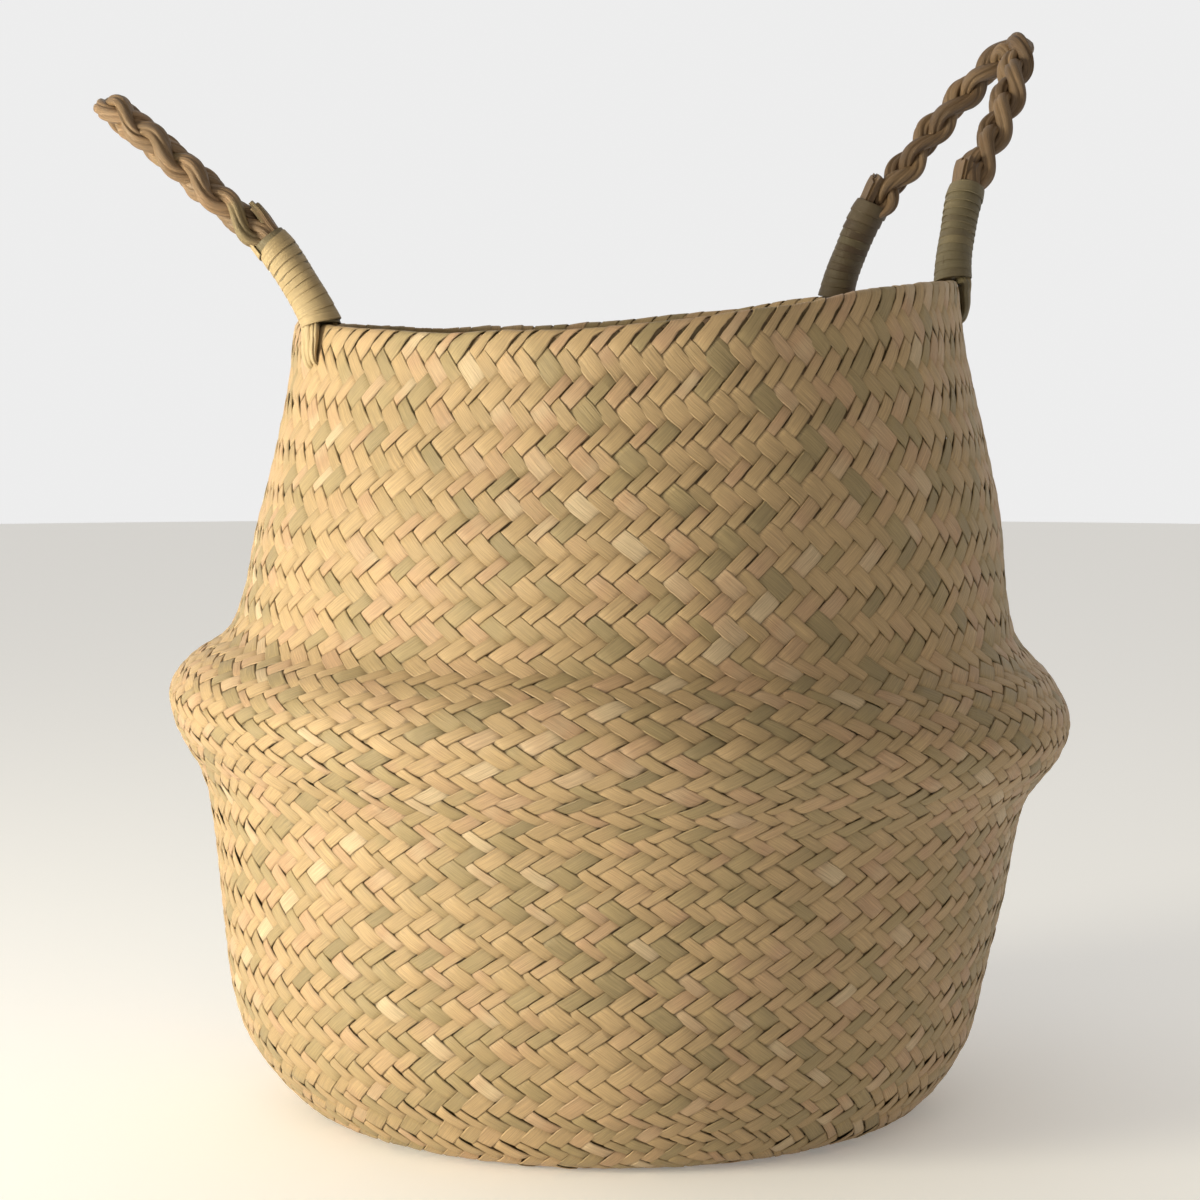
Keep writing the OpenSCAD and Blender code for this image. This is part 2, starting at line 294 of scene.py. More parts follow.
def surface(length, phi, off):
    """Point of the body at a profile length and azimuth, off the plait's middle by off."""
    off = off + ripple(length, phi)
    r = np.interp(length, PROFILE_L, PROFILE[:, 0])
    z = np.interp(length, PROFILE_L, PROFILE[:, 1])
    nr = np.interp(length, PROFILE_L, PROFILE_NORMAL[:, 0])
    nz = np.interp(length, PROFILE_L, PROFILE_NORMAL[:, 1])
    return place(phi, r + off * nr, z + off * nz)


# ---------------------------------------------------------------- the plait's lattice

STRIPS = 104
QUARTER = STRIPS // 4
STRIP_W = 5.5
# Pitch of the strips at heights of the wall: drawn in at the fold, looser in the neck
PITCH = np.array([[0, 5.5], [100, 5.5], [127, 5.3], [160, 4.95], [195, 5.9], [240, 6.4],
                  [290, 6.3], [324, 6.0]])
CORNER_AZIMUTH = -179
HALF_STEP = 0.5 / QUARTER
CIRCLE = math.sqrt(2 / math.pi)


def ring_lengths():
    """Profile length of each ring of crossings, from the base's centre to the end of the lining."""
    rings = [CIRCLE * STRIP_W * n for n in range(QUARTER + 1)]
    while rings[-1] < PROFILE_L[-1] - 2:
        r = np.interp(rings[-1], PROFILE_L, PROFILE[:, 0])
        z = np.interp(rings[-1], PROFILE_L, PROFILE[:, 1])
        pitch = np.interp(z, PITCH[:, 0], PITCH[:, 1])
        sine = min(STRIPS * pitch / (2 * math.pi * r), 0.9)
        rings.append(rings[-1] + pitch / (2 * math.sqrt(1 - sine * sine)))
    return np.array(rings)


RING_L = ring_lengths()
LAST_RING = len(RING_L) - 1
RIM_RING = int(np.argmin(np.abs(RING_L - RIM_L)))


def lattice(ring, quarter_turns):
    """Crossing at a ring, as profile length and azimuth. The base's square rounds off upward."""
    circle_l = np.interp(ring, np.arange(LAST_RING + 1), RING_L)
    quarter = np.floor(quarter_turns)
    u = quarter_turns - quarter
    square = 1 - smooth((ring - 8) / 34)
    inside = np.minimum(ring, QUARTER)
    length = circle_l + square * STRIP_W * inside * (np.hypot(u, 1 - u) - CIRCLE)
    turn = 90 * (quarter + u) + square * (np.degrees(np.arctan2(u, 1 - u)) - 90 * u)
    phi = turn + CORNER_AZIMUTH
    a = np.radians(phi)
    sway = smooth((ring - 20) / 20)
    length = length + sway * (0.9 * np.sin(2 * a + ring / 9) + 0.7 * np.sin(5 * a - ring / 6 + 1))
    phi = phi + sway * (0.25 * np.sin(4 * a + ring / 7 + 2) + 0.15 * np.sin(9 * a - ring / 5))
    return length, phi


def base_node(x, y):
    ring = abs(x) + abs(y)
    if x > 0 and y > 0:
        return ring, y / ring
    if x < 0 and y > 0:
        return ring, 1 - x / ring
    if x < 0:
        return ring, 2 - y / ring
    return ring, 3 + x / ring


def goes_over(ring, sign):
    """Whether a strip lies over: in two rings of four.

    On the rim's fold, it is the strips that climb anticlockwise."""
    if ring > RIM_RING + 2:
        first = (ring - RIM_RING - 3) % 4 >= 2
    elif ring >= RIM_RING - 2:
        first = True
    else:
        first = (RIM_RING - 3 - ring) % 4 >= 2
    return first if sign > 0 else not first


def uneven_edges():
    """Edges between the strips of one direction, pushed aside by shares of the pitch.

    Wide and narrow strips take turns in places, and each strip has a width of its own. On the wall
    the outermost strips of one direction lie against the middle ones of the other, so those edges
    stay where they are."""
    j = np.arange(2 * QUARTER + 1)
    turns = 0.5 * (-1.0)**j * (0.17 + 0.11 * np.sin(j / 6 + rng.uniform(0, 6)))
    edges = turns + rng.normal(0, 0.055, len(j))
    edges[[0, QUARTER, 2 * QUARTER]] = 0
    return edges


X_EDGES = uneven_edges()
Y_EDGES = uneven_edges()
X_SHIFT, X_WIDTH = (X_EDGES[1:] + X_EDGES[:-1]) / 2, 1 + np.diff(X_EDGES)
Y_SHIFT, Y_WIDTH = (Y_EDGES[1:] + Y_EDGES[:-1]) / 2, 1 + np.diff(Y_EDGES)


def strip_number(c):
    return int(c + QUARTER)


def wall_values(x_values, y_values, turned):
    """Values of the strips for each place round the base: of those that climb anticlockwise from
    it, then of those that climb clockwise.

    A shift changes its sign where the wall turns a strip's sides round, and turned is -1 for it."""
    climbing, falling = np.zeros(STRIPS), np.zeros(STRIPS)
    for i in range(STRIPS):
        q = i % QUARTER + 0.5
        near, far = q, QUARTER - q
        if i < QUARTER:
            falling[i] = x_values[strip_number(near)]
            climbing[i] = turned * y_values[strip_number(far)]
        elif i < 2 * QUARTER:
            falling[i] = turned * y_values[strip_number(-near)]
            climbing[i] = turned * x_values[strip_number(far)]
        elif i < 3 * QUARTER:
            falling[i] = turned * x_values[strip_number(-near)]
            climbing[i] = y_values[strip_number(-far)]
        else:
            falling[i] = y_values[strip_number(near)]
            climbing[i] = x_values[strip_number(-far)]
    return climbing, falling


CLIMBING, FALLING = wall_values(X_SHIFT, Y_SHIFT, -1)
CLIMBING_WIDTH, FALLING_WIDTH = wall_values(X_WIDTH, Y_WIDTH, 1)


# Where a strip crosses another: its ring and turns in the lattice, those of the next crossing on
# the other strip, whether it lies over, whether it is in the base, its ring and turns as the uneven
# strips place it, and the other strip's share of the pitch
Node = namedtuple("Node", "ring turns next_ring next_turns over in_base laid_ring laid_turns wide")


def wall_leg(x, y, sign):
    """Nodes of a strip from the base's edge to the end of the lining."""
    turns0 = base_node(x, y)[1]
    own = int(QUARTER * turns0)
    leg = []
    for k in range(1, LAST_RING - QUARTER + 1):
        ring = QUARTER + k
        turns = turns0 + sign * k * HALF_STEP
        climb = CLIMBING[own] if sign > 0 else CLIMBING[(own - k) % STRIPS]
        fall = FALLING[(own + k) % STRIPS] if sign > 0 else FALLING[own]
        crossing = (FALLING_WIDTH[(own + k) % STRIPS] if sign > 0
                    else CLIMBING_WIDTH[(own - k) % STRIPS])
        leg.append(Node(ring, turns, ring + 1, turns - sign * HALF_STEP, goes_over(ring, sign),
                        False, ring + fall - climb, turns + (fall + climb) / 2 / QUARTER,
                        crossing))
    return leg


def whole_strip(c, along_x):
    """All nodes of one strip, from the end of one wall leg through the base to the other's end."""
    reach = QUARTER - abs(c)
    base = []
    for step in range(int(2 * reach) + 1):
        t = -reach + step
        x, y = (t, c) if along_x else (c, t)
        inner = (x, y - math.copysign(1, y)) if along_x else (x - math.copysign(1, x), y)
        sign = -1 if (x * y > 0) == along_x else 1
        ring, turns = base_node(x, y)
        ring2, turns2 = base_node(*inner)
        ring3, turns3 = base_node(x + Y_SHIFT[strip_number(x)], y + X_SHIFT[strip_number(y)])
        crossing = Y_WIDTH[strip_number(x)] if along_x else X_WIDTH[strip_number(y)]
        base.append(Node(ring, turns, ring2, turns2, goes_over(ring, sign), True, ring3, turns3,
                         crossing))
    if along_x:
        first = wall_leg(-reach, c, 1 if c > 0 else -1)
        last = wall_leg(reach, c, -1 if c > 0 else 1)
    else:
        first = wall_leg(c, -reach, -1 if c > 0 else 1)
        last = wall_leg(c, reach, 1 if c > 0 else -1)
    return first[::-1] + base + last


def flat_point(ring, turns):
    """Lattice node unrolled on a plane, where halves between nodes can be averaged."""
    length, phi = lattice(ring, turns)
    a = np.radians(phi)
    return np.stack([length * np.cos(a), length * np.sin(a)], -1)


def on_surface(flat, off):
    length = np.linalg.norm(flat, axis=-1)
    phi = np.degrees(np.arctan2(flat[..., 1], flat[..., 0]))
    return surface(length, phi, off)


# ---------------------------------------------------------------- meshes

SHARP_ANGLE = math.radians(32)


def new_object(name, points, quads, triangles, fields, material, crisp):
    """A smooth mesh object in metres, crisp at its edges or not. fields are named three-number
    values, one for each point."""
    mesh = bpy.data.meshes.new(name)
    corner_count = 4 * len(quads) + 3 * len(triangles)
    mesh.vertices.add(len(points))
    mesh.loops.add(corner_count)
    mesh.polygons.add(len(quads) + len(triangles))
    mesh.vertices.foreach_set("co", (points * MM).astype(np.float32).ravel())
    corners = np.concatenate([quads.ravel(), triangles.ravel()]).astype(np.int32)
    mesh.loops.foreach_set("vertex_index", corners)
    sizes = np.concatenate([np.full(len(quads), 4), np.full(len(triangles), 3)])
    starts = np.concatenate([[0], np.cumsum(sizes)[:-1]]).astype(np.int32)
    mesh.polygons.foreach_set("loop_start", starts)
    mesh.update(calc_edges=True)
    mesh.validate()
    mesh.shade_smooth()
    if crisp:
        mesh.set_sharp_from_angle(angle=SHARP_ANGLE)
    for field, values in fields.items():
        attribute = mesh.attributes.new(field, "FLOAT_VECTOR", "POINT")
        attribute.data.foreach_set("vector", values.astype(np.float32).ravel())
    mesh.materials.append(material)
    obj = bpy.data.objects.new(name, mesh)
    bpy.context.collection.objects.link(obj)
    return obj


class Strands:
    """Collects closed rods and ribbons, each a list of rings of points, into one mesh."""

    def __init__(self):
        self.points, self.quads, self.triangles, self.grain, self.tint_and_shade = [], [], [], [], []
        self.count = 0

    def add(self, rings, grain, tint_and_shade):
        n, m = rings.shape[:2]
        at = self.count
        i, k = np.meshgrid(np.arange(n - 1), np.arange(m), indexing="ij")
        a = at + i * m + k
        b = at + i * m + (k + 1) % m
        self.quads.append(np.stack([a, b, b + m, a + m], -1).reshape(-1, 4))
        fan = np.arange(1, m - 1)
        last = at + (n - 1) * m
        self.triangles.append(np.stack([np.full(m - 2, at), at + fan + 1, at + fan], -1))
        self.triangles.append(np.stack([np.full(m - 2, last), last + fan, last + fan + 1], -1))
        self.points.append(rings.reshape(-1, 3))
        self.grain.append(grain.reshape(-1, 3))
        self.tint_and_shade.append(tint_and_shade.reshape(-1, 3))
        self.count += n * m

    def build(self, name, material, crisp=True):
        fields = {"grain": np.vstack(self.grain), "tint_and_shade": np.vstack(self.tint_and_shade)}
        return new_object(name, np.vstack(self.points), np.vstack(self.quads),
                          np.vstack(self.triangles), fields, material, crisp)


# Cross-section of a flat strip: place across as a share of its width, and height
STRIP_SECTION = np.array([[-0.5, -0.22], [-0.45, 0.14], [0.0, 0.24], [0.45, 0.14], [0.5, -0.22]])

# The same with more points across, to bend over the rim
FOLD_SECTION = np.array([[-0.5, -0.1], [-0.45, 0.2], [-0.27, 0.22], [-0.09, 0.24], [0.09, 0.24],
                         [0.27, 0.22], [0.45, 0.2], [0.5, -0.1], [0.3, -0.1], [0.1, -0.1],
                         [-0.1, -0.1], [-0.3, -0.1]])


def strip_rings(middle, across, up, width, section=STRIP_SECTION, thick=1.0):
    """Rings of a flat strip along middle, width wide."""
    offset = section[:, 0][None, :, None] * width[:, None, None] * across[:, None, :]
    height = section[:, 1][None, :, None] * thick * up[:, None, :]
    return middle[:, None, :] + offset + height


def strip_fields(section, v, seed, hue, height):
    """Shader values: grain is across and along the strip and its seed, tint_and_shade its hue and
    height; the material paints shade where the height is low.
    """
    n, m = len(v), len(section)
    grain = np.empty((n, m, 3))
    grain[..., 0] = section[:, 0] * 2
    grain[..., 1] = v[:, None]
    grain[..., 2] = seed
    tint_and_shade = np.zeros((n, m, 3))
    tint_and_shade[..., 0] = hue
    tint_and_shade[..., 1] = height[:, None]
    return grain, tint_and_shade


def ribbon(centre, across, width, thick, hue, end_cut=0.0):
    """A flat strip along a line of points, with its wide face turned along across."""
    along = unit(np.gradient(centre, axis=0))
    up = unit(np.cross(across, along))
    across = np.cross(along, up)
    rings = strip_rings(centre, across, up, width, thick=thick)
    if end_cut:
        rings[-1] += along[-1] * STRIP_SECTION[:, :1] * end_cut
    v = run_lengths(centre)
    grain, tint_and_shade = strip_fields(STRIP_SECTION, v + rng.uniform(0, 900), rng.uniform(), hue,
                               np.full(len(v), 0.4))
    return rings, grain, tint_and_shade


# ---------------------------------------------------------------- materials

def add_node(tree, kind, **inputs):
    node = tree.nodes.new(kind)
    for key, value in inputs.items():
        node.inputs[key.replace("_", " ")].default_value = value
    return node


def maths(tree, operation, a, b, clamp=False):
    node = tree.nodes.new("ShaderNodeMath")
    node.operation = operation
    node.use_clamp = clamp
    for socket, value in zip(node.inputs, (a, b)):
        if isinstance(value, bpy.types.NodeSocket):
            tree.links.new(value, socket)
        else:
            socket.default_value = value
    return node.outputs[0]


def mix_colour(tree, factor, a, b, blend="MIX"):
    node = tree.nodes.new("ShaderNodeMix")
    node.data_type = "RGBA"
    node.blend_type = blend
    for socket, value in ((node.inputs[0], factor), (node.inputs[6], a), (node.inputs[7], b)):
        if isinstance(value, bpy.types.NodeSocket):
            tree.links.new(value, socket)
        else:
            socket.default_value = value
    return node.outputs[2]


def ramp(tree, factor, stops):
    node = tree.nodes.new("ShaderNodeValToRGB")
    elements = node.color_ramp.elements
    while len(elements) < len(stops):
        elements.new(0.5)
    for element, (position, colour) in zip(elements, stops):
        element.position = position
        element.color = (*colour, 1)
    tree.links.new(factor, node.inputs[0])
    return node.outputs[0]


def noise(tree, vector, scale, detail=2.0, roughness=0.5):
    node = add_node(tree, "ShaderNodeTexNoise", Scale=scale, Detail=detail, Roughness=roughness)
    tree.links.new(vector, node.inputs["Vector"])
    return node.outputs["Fac"]


def grass_material(name, tones, shade_colour, streak=0.35, vary=0.55, roughness=0.52, depth=1.0,
                   fineness=5.0, relief=0.5):
    """Dry grass: a tone for each strip that drifts along it, fibre lines, and painted shade in low
    places and at strip edges, its strength set by depth.
    """
    material = bpy.data.materials.new(name)
    material.use_nodes = True
    tree = material.node_tree
    shader = tree.nodes["Principled BSDF"]
    grain = tree.nodes.new("ShaderNodeAttribute")
    grain.attribute_name = "grain"
    tint_and_shade = tree.nodes.new("ShaderNodeAttribute")
    tint_and_shade.attribute_name = "tint_and_shade"
    part = tree.nodes.new("ShaderNodeSeparateXYZ")
    tree.links.new(grain.outputs["Vector"], part.inputs[0])
    kind = tree.nodes.new("ShaderNodeSeparateXYZ")
    tree.links.new(tint_and_shade.outputs["Vector"], kind.inputs[0])
    across, along, seed = part.outputs
    hue, height, _ = kind.outputs
    # Fibre lines: fine across the strip, long along it
    fibre = tree.nodes.new("ShaderNodeCombineXYZ")
    tree.links.new(maths(tree, "MULTIPLY", across, fineness), fibre.inputs[0])
    tree.links.new(maths(tree, "MULTIPLY", along, 0.045), fibre.inputs[1])
    tree.links.new(maths(tree, "MULTIPLY", seed, 91.0), fibre.inputs[2])
    lines = noise(tree, fibre.outputs[0], 1.6, 5.0, 0.62)
    # Slow drift of tone along each strip
    drift_at = tree.nodes.new("ShaderNodeCombineXYZ")
    tree.links.new(maths(tree, "MULTIPLY", along, 0.035), drift_at.inputs[0])
    tree.links.new(maths(tree, "MULTIPLY", seed, 53.0), drift_at.inputs[1])
    drift = noise(tree, drift_at.outputs[0], 1.0, 2.0)
    shift = maths(tree, "MULTIPLY", maths(tree, "SUBTRACT", drift, 0.5), vary * 1.6)
    tone = ramp(tree, maths(tree, "ADD", hue, shift, clamp=True), tones)
    # Lines darken and lighten the tone
    brightness = maths(tree, "ADD", maths(tree, "MULTIPLY", maths(tree, "SUBTRACT", lines, 0.5),
                                          streak * 2.6), 1.0)
    lined = mix_colour(tree, 1.0, tone, brightness, "MULTIPLY")
    # Painted shade: low places, where a strip dips under its neighbour, and the strips' edges are
    # darkened, standing in for the shade that falls there
    low = maths(tree, "MULTIPLY", maths(tree, "SUBTRACT", 0.1, height, clamp=True), 0.6 * depth,
                clamp=True)
    edge = maths(tree, "POWER", maths(tree, "ABSOLUTE", across, 0.0), 5.0)
    shade = maths(tree, "MAXIMUM", low, maths(tree, "MULTIPLY", edge, 0.2 * depth), clamp=True)
    colour = mix_colour(tree, shade, lined, (*shade_colour, 1))
    tree.links.new(colour, shader.inputs["Base Color"])
    rough = maths(tree, "ADD", maths(tree, "MULTIPLY", lines, 0.25), roughness - 0.1)
    tree.links.new(rough, shader.inputs["Roughness"])
    shader.inputs["Specular IOR Level"].default_value = 0.45
    bump = add_node(tree, "ShaderNodeBump", Strength=relief, Distance=0.00035)
    tree.links.new(lines, bump.inputs["Height"])
    tree.links.new(bump.outputs[0], shader.inputs["Normal"])
    return material


PLAIT_TONES = [(0.0, (0.28, 0.212, 0.108)), (0.25, (0.33, 0.245, 0.122)),
               (0.45, (0.395, 0.275, 0.142)), (0.65, (0.44, 0.305, 0.16)),
               (0.82, (0.42, 0.27, 0.155)), (1.0, (0.50, 0.38, 0.235))]
ROPE_TONES = [(0.0, (0.12, 0.072, 0.036)), (0.35, (0.19, 0.12, 0.062)), (0.6, (0.26, 0.162, 0.088)),
              (0.8, (0.225, 0.17, 0.085)), (1.0, (0.36, 0.25, 0.145))]
WRAP_TONES = [(0.0, (0.075, 0.048, 0.026)), (0.15, (0.135, 0.11, 0.06)),
              (0.35, (0.24, 0.185, 0.095)), (0.6, (0.38, 0.28, 0.145)), (1.0, (0.50, 0.385, 0.22))]
# Colour of the painted shade in low places, at strip edges and in creases
PAINTED_SHADE = (0.055, 0.033, 0.014)

plait_material = grass_material("seagrass_plait", PLAIT_TONES, PAINTED_SHADE, streak=0.52, depth=1.3,
                                fineness=8.0, relief=0.8)
rope_material = grass_material("seagrass_rope", ROPE_TONES, PAINTED_SHADE, streak=0.85, vary=0.8,
                               depth=1.6, fineness=17.0, relief=1.0)
wrap_material = grass_material("seagrass_binding", WRAP_TONES, PAINTED_SHADE, streak=0.38, vary=0.25,
                               depth=0.5, fineness=9.0, relief=0.8)

# ---------------------------------------------------------------- plaiting the body

# How far a strip lies off the plait's middle, and how much more half way along a float
OVER = 0.64
FLOAT_BULGE = 0.14
# The share of the way to the next node in which a strip passes from over to under, either side
# of the edge that it passes
PASSAGE = 0.17
# Steps between two nodes on the rim's fold
FOLD_STEPS = 8
# Widths of a strip in the plait, before its own share
NARROWEST = 4.2
WIDEST = 7.0
# Where the base turns up into the wall, along the profile
HEEL_L = 116
# Each zone of the plait, from the base up, and the CAD node that it stands for
ZONES = {"base_plait": "base_mat", "heel_plait": "lower_wall", "lower_wall_plait": "lower_wall",
         "belly_plait": "belly_fold", "neck_plait": "neck_wall", "rim_plait": "rim_hem",
         "lining_plait": "rim_lining"}
FIRST_FOLDED = list(ZONES).index("rim_plait")


def nearest_ring(length):
    return int(np.argmin(np.abs(RING_L - length)))


def zone_of(ring, in_base, borders):
    """Number of the zone that a stretch of strip from this ring up belongs to."""
    if in_base:
        return 0
    return 1 + int(np.searchsorted(borders, ring, side="right"))


def plait_body():
    """Every strip of the body, collected by zone."""
    borders = [nearest_ring(length_at(v)) for v in (HEEL_V, CREASE_V, NECK_FOOT_V, SHOULDER_V)]
    borders.append(nearest_ring(RIM_L) + 1)
    collected = [Strands() for _ in ZONES]
    offsets = np.arange(QUARTER) + 0.5
    for along_x in (True, False):
        for c in np.concatenate([-offsets[::-1], offsets]):
            share = (X_WIDTH if along_x else Y_WIDTH)[strip_number(c)]
            lay_strip(whole_strip(c, along_x), share, borders, collected)
    return collected


def node_places(nodes, share):
    """Where a strip's nodes lie, unrolled, how wide the strip may be there, and its skew: how far
    the edge of the crossing strip leans along it for each millimetre across."""
    flat = flat_point(nodes.ring, nodes.turns)
    here = on_surface(flat, 0.0)
    own = np.gradient(here, axis=0)
    other = on_surface(flat_point(nodes.next_ring, nodes.next_turns), 0.0) - here
    ahead = unit(own)
    beside = np.cross(ahead, unit(on_surface(flat, 1.0) - here))
    skew = (other * ahead).sum(-1) / (other * beside).sum(-1)
    room = np.linalg.norm(np.cross(own, other), axis=1) / np.linalg.norm(own, axis=1)
    laid = flat_point(nodes.laid_ring, nodes.laid_turns)
    return laid, np.clip(room, NARROWEST, WIDEST) * share, skew


def course(nodes, share):
    """The course of a strip: its unrolled points, their heights, widths and skews, and the number
    of the point at each node."""
    ring, wide = nodes.ring, nodes.wide
    flat, room, skew = node_places(nodes, share)
    side = np.where(nodes.over, 1.0, -1.0)
    points, height, width, lean, node_at = [], [], [], [], []
    for i in range(len(ring)):
        node_at.append(len(points))
        points.append(flat[i])
        height.append(side[i] * OVER + rng.normal(0, 0.06))
        width.append(room[i])
        lean.append(skew[i])
        if i == len(ring) - 1:
            break
        if side[i] == side[i + 1]:
            knots = [0, 0.5, 1]
            levels = [side[i] * OVER, side[i] * (OVER + FLOAT_BULGE), side[i] * OVER]
        else:
            edge = wide[i] / (wide[i] + wide[i + 1])
            knots = [0, edge - PASSAGE, edge, edge + PASSAGE, 1]
            levels = side[i] * OVER * np.array([1, 0.9, 0, -0.9, -1])
        at_fold = abs((ring[i] + ring[i + 1]) / 2 - RIM_RING) <= 1
        shares = np.linspace(0, 1, FOLD_STEPS + 1)[1:-1] if at_fold else knots[1:-1]
        for on, level in zip(shares, np.interp(shares, knots, levels)):
            points.append(flat[i] * (1 - on) + flat[i + 1] * on)
            height.append(level)
            width.append(room[i] * (1 - on) + room[i + 1] * on)
            lean.append(skew[i] * (1 - on) + skew[i + 1] * on)
    return *map(np.array, (points, height, width, lean)), node_at


def way_across(points, height, middle):
    """The way across a strip, unrolled, so that the strip bends with the surface both ways."""
    up = unit(on_surface(points, height + 1.0) - middle)
    across = unit(np.cross(np.gradient(middle, axis=0), up))
    radial = unit(points)
    sideways = np.stack([-radial[:, 1], radial[:, 0]], -1)

    def share_of(way):
        step = on_surface(points + 0.5 * way, height) - on_surface(points - 0.5 * way, height)
        return (across * step).sum(-1) / (step**2).sum(-1)

    out_share = np.clip(share_of(radial), -1.3, 1.3)
    return out_share[:, None] * radial + share_of(sideways)[:, None] * sideways


def lay_strip(nodes, share, borders, collected):
    """One strip from end to end, cut where one zone ends and the next begins."""
    nodes = Node(*map(np.array, zip(*nodes)))
    points, height, width, lean, node_at = course(nodes, share)
    count = len(points)
    length = np.linalg.norm(points, axis=1)
    # The plait is flatter in the fold and the lining, and closer on the rim and the heel
    height = height * (1 - 0.4 * smooth((length - RIM_L + 6) / 6))
    near_rim = np.exp(-((length - RIM_L) / 5)**2)
    near_heel = np.exp(-((length - HEEL_L) / 8)**2)
    width = width * (1.03 + rng.normal(0, 0.015)) * (1 + rng.normal(0, 0.012, count))
    width = width * (1 + 0.10 * near_rim + 0.10 * near_heel)
    middle = on_surface(points, height)
    flat_across = way_across(points, height, middle)
    # Each strip rolls a little, so one edge shows and the other tucks under its neighbour
    roll = rng.normal(0, 0.04) + 0.035 * np.sin(np.arange(count) / 13 + rng.uniform(0, 6))
    slip = 0.25 * np.sin(np.arange(count) / 8 + rng.uniform(0, 6)) + rng.normal(0, 0.05, count)
    v = run_lengths(middle)
    start_v = rng.uniform(0, 900)
    seed, hue = rng.uniform(), np.clip(rng.normal(0.5, 0.19), 0, 1)
    ring, in_base = nodes.ring, nodes.in_base
    zones = [zone_of(min(ring[i], ring[i + 1]), in_base[i] and in_base[i + 1], borders)
             for i in range(len(ring) - 1)]
    start = 0
    for i in range(1, len(ring)):
        if i == len(ring) - 1 or zones[i] != zones[start]:
            span = slice(node_at[start], node_at[i] + 1)
            section = FOLD_SECTION if zones[start] >= FIRST_FOLDED else STRIP_SECTION
            reach = section[:, 0] * width[span, None]
            aside = (reach + slip[span, None])[..., None]
            spots = points[span, None] + aside * flat_across[span, None]
            # Passages are sheared, so that they lie along the crossing strip's edge
            level = np.interp(v[span, None] - reach * np.clip(lean[span, None], -1, 1), v, height)
            rings = on_surface(spots, level + section[:, 1] + reach * roll[span, None])
            fields = strip_fields(section, v[span] + start_v, seed, hue, height[span])
            collected[zones[start]].add(rings, *fields)
            start = i


LOOSE_FIBRES = 220


def add_loose_fibres(collected):
    """Thin pale splinters that have come up from the strips, on the outside of the wall."""
    ends = [length_at(v) for v in (0.6, HEEL_V, CREASE_V, NECK_FOOT_V, SHOULDER_V, RIM_V - 0.15)]
    for _ in range(LOOSE_FIBRES):
        start = rng.uniform(ends[0], ends[-1])
        phi = rng.uniform(0, 360)
        t = np.linspace(0, 1, 7)
        reach = rng.uniform(5, 12)
        slant = rng.choice([-1, 1]) * rng.uniform(0.8, 1.1)
        length = start + t * reach * rng.choice([-1, 1]) * 0.7
        length = np.clip(length, ends[0], ends[-1])
        turn = phi + np.degrees(t * reach * slant / 150) + rng.normal(0, 1.2) * t * t
        lift = -0.6 + rng.uniform(0.2, 1.4) * t * t
        centre = surface(length, turn, lift)
        out = unit(surface(length, turn, lift + 1) - centre)
        across = unit(np.cross(np.gradient(centre, axis=0), out))
        width = rng.uniform(0.4, 0.9) * (1 - 0.75 * t)
        zone = 1 + int(np.searchsorted(ends[1:-1], start))
        collected[zone].add(*ribbon(centre, across, width, 0.5, rng.uniform(0.75, 1.0)))


body_strands = plait_body()
add_loose_fibres(body_strands)
for (name, node), strands in zip(ZONES.items(), body_strands):
    piece = strands.build(name, plait_material)
    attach(piece, "basket")
    if name != "heel_plait":
        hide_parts(node)

# ---------------------------------------------------------------- handles

WALL_T = 3
LINING_T = 1.8
PIVOT_LIFT = 1
FOOT_H = 7
WRAP_L = 34
ARCH_POWER = 1.82
HANDLE_CURL = 25
BEND_H = 58
Side = namedtuple("Side", "name azimuth lean arch_h sign leg_angle")
LEFT = Side("left", LEFT_AZIMUTH, 24, 117, -1, 19)
RIGHT = Side("right", RIGHT_AZIMUTH, 10, 119, 1, 23)
LEGS = {"front": -1, "rear": 1}


def leg_azimuth(side, leg):
    return side.azimuth + leg * side.sign * side.leg_angle


def pivot(side, leg):
    r, z = off_outline(RIM_V, -WALL_T / 2 - LINING_T / 2)
    return place(leg_azimuth(side, leg), r, z) + [0, 0, CROWN_H + PIVOT_LIFT]


def on_handle(side, w, h, n):
    """Point of a handle: across it by w, up the rope by h and outward of it by n."""
    front, rear = pivot(side, -1), pivot(side, 1)
    chord = unit(rear - front)
    out = side.sign * unit(np.cross(chord, [0, 0, 1]))
    up = side.sign * np.cross(out, chord)
    lean = math.radians(side.lean)
    end = lean + np.radians(HANDLE_CURL * np.minimum(h / BEND_H, 1))
    radius = BEND_H / math.radians(HANDLE_CURL)
    beyond = np.maximum(h - BEND_H, 0)
    out_by = radius * (math.cos(lean) - np.cos(end)) + beyond * np.sin(end) + n * np.cos(end)
    up_by = radius * (np.sin(end) - math.sin(lean)) + beyond * np.cos(end) - n * np.sin(end)
    return ((front + rear) / 2 + np.multiply.outer(w, chord) + np.multiply.outer(out_by, out)
            + np.multiply.outer(up_by, up))


def chord_half(side):
    return np.linalg.norm(pivot(side, 1) - pivot(side, -1)) / 2


def leg_point(side, leg, h, across, n):
    """Point of a leg: up it by h, across it and outward of it."""
    h, across, n = np.broadcast_arrays(np.asarray(h, float), across, n)

    def middle(height):
        return leg * chord_half(side) * (1 - height / side.arch_h)**(1 / ARCH_POWER)

    slope = (middle(h + 1) - middle(h - 1)) / 2
    size = np.sqrt(1 + slope * slope)
    return on_handle(side, middle(h) + across / size, h - across * slope / size, n)


BRAID_A = 3.9
BRAID_B = 3.1
BRAID_OFF = 2.2
BRAID_PITCH = 60
STRAND_HALF = (3.9, 3.3)
STRAND_STEPS = 230
STRAND_SIDES = 44
